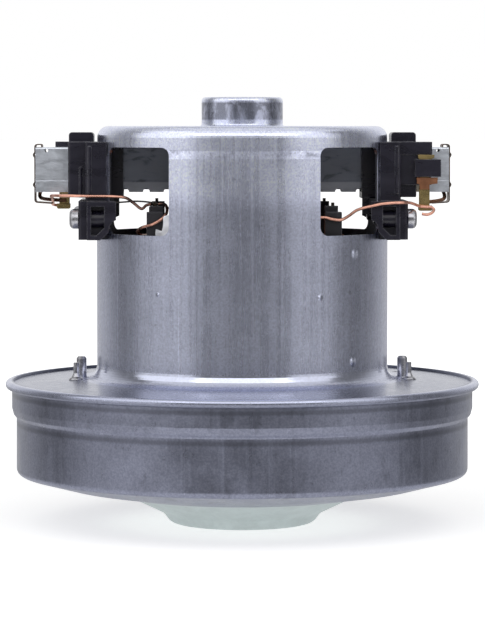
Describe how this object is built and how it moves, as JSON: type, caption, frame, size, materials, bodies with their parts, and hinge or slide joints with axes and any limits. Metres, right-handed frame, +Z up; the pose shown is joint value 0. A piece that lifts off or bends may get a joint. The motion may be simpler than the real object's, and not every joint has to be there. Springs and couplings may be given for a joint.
{
  "type": "vacuum motor unit",
  "caption": "Brushed vacuum cleaner motor with a one-stage fan: drawn steel can on a round fan cover, brush gear on both sides, inlet eye below.",
  "frame": {"origin": "on the shaft's axis, at the inlet lip's lower edge", "axes": "+Z up the shaft from the inlet to the upper bearing cup, the brush holders on +X and -X, -Y the side that the picture shows"},
  "size_m": [0.135, 0.135, 0.1214],
  "materials": {
    "can_steel": "drawn sheet steel, satin, faint vertical draw lines and mottling",
    "cover_steel": "drawn sheet steel, satin, light handling marks",
    "diffuser_plastic": "black moulded plastic",
    "bracket_steel": "pressed sheet steel, zinc plated",
    "screw_steel": "bright zinc plated steel",
    "bearing_steel": "ground and polished steel",
    "damper_rubber": "black rubber",
    "spring_steel": "drawn spring steel",
    "lamination_steel": "stacked electrical steel sheets, dull",
    "enamelled_copper": "wound enamelled copper wire, varnished; brass stands in for copper",
    "insulator_plastic": "black moulded plastic",
    "white_insulation": "white insulating sheet and sleeve",
    "terminal_brass": "stamped brass, slightly tarnished",
    "holder_plastic": "black moulded plastic, slight sheen",
    "tube_steel": "folded bright sheet metal",
    "clip_steel": "thin sprung strip, slightly browned",
    "clamp_copper": "copper-coloured stamped strip; brass stands in for copper",
    "copper_wire": "bright enamelled copper wire; brass stands in for copper",
    "dark_wire": "thin dark insulated wire",
    "copper_braid": "braided copper, dull; brass stands in for copper",
    "shaft_steel": "turned steel",
    "commutator_copper": "turned copper bars; brass stands in for copper",
    "resin": "brown moulding resin",
    "impeller_aluminium": "pressed sheet aluminium",
    "carbon": "pressed carbon"
  },
  "bodies": {
    "housing": {"motor_can": "can_steel", "fan_cover": "cover_steel", "diffuser": "diffuser_plastic", "bearing_bracket": "bracket_steel", "bracket_screws": "screw_steel", "locating_pins": "screw_steel", "holder_screws": "screw_steel", "upper_bearing_outer": "bearing_steel", "lower_bearing_outer": "bearing_steel", "bearing_damper": "damper_rubber", "wave_washer": "spring_steel", "stator_core": "lamination_steel", "field_coils": "enamelled_copper", "upper_insulator": "insulator_plastic", "lower_insulator": "white_insulation", "lead_sleeve": "white_insulation", "coil_terminals": "terminal_brass", "brush_terminal_left": "terminal_brass", "brush_terminal_right": "terminal_brass", "brush_holder_left": "holder_plastic", "brush_holder_right": "holder_plastic", "brush_tube_left": "tube_steel", "brush_tube_right": "tube_steel", "end_clip_left": "clip_steel", "end_clip_right": "clip_steel", "tab_clamp_left": "clamp_copper", "tab_clamp_right": "clamp_copper", "lead_wire_left": "copper_wire", "lead_wire_right": "copper_wire", "coil_lead": "copper_wire", "tail_wire": "dark_wire"},
    "rotor": {"shaft": "shaft_steel", "armature_core": "lamination_steel", "armature_winding": "enamelled_copper", "commutator_bars": "commutator_copper", "commutator_hub": "resin", "upper_bearing_inner": "bearing_steel", "lower_bearing_inner": "bearing_steel", "spacer_bush": "shaft_steel", "impeller_front_disc": "impeller_aluminium", "impeller_back_disc": "impeller_aluminium", "impeller_blades": "impeller_aluminium", "clamp_washers": "shaft_steel", "impeller_nut": "shaft_steel"},
    "upper_ball_set": {"upper_balls": "bearing_steel"},
    "lower_ball_set": {"lower_balls": "bearing_steel"},
    "brush_left": {"carbon_brush_left": "carbon", "brush_spring_left": "spring_steel", "shunt_left": "copper_braid"},
    "brush_right": {"carbon_brush_right": "carbon", "brush_spring_right": "spring_steel", "shunt_right": "copper_braid"}
  },
  "joints": [
    {"name": "rotor_spin", "type": "hinge", "parent": "housing", "child": "rotor", "pos_m": [0, 0, 0.08], "axis": [0, 0, 1], "continuous": true},
    {"name": "upper_cage_spin", "type": "hinge", "parent": "housing", "child": "upper_ball_set", "pos_m": [0, 0, 0.1167], "axis": [0, 0, 1], "continuous": true},
    {"name": "lower_cage_spin", "type": "hinge", "parent": "housing", "child": "lower_ball_set", "pos_m": [0, 0, 0.0372], "axis": [0, 0, 1], "continuous": true},
    {"name": "brush_slide_left", "type": "slide", "parent": "housing", "child": "brush_left", "axis": [-1, 0, 0], "range_m": [0, 0.008], "stiffness_N_per_m": 150, "springref_m": -0.02, "deforming": ["brush_spring_left", "shunt_left"]},
    {"name": "brush_slide_right", "type": "slide", "parent": "housing", "child": "brush_right", "axis": [1, 0, 0], "range_m": [0, 0.008], "stiffness_N_per_m": 150, "springref_m": -0.02, "deforming": ["brush_spring_right", "shunt_right"]}
  ],
  "couplings": [
    {"joint": "upper_cage_spin", "follows": "rotor_spin", "ratio": 0.3654},
    {"joint": "lower_cage_spin", "follows": "rotor_spin", "ratio": 0.3677}
  ]
}
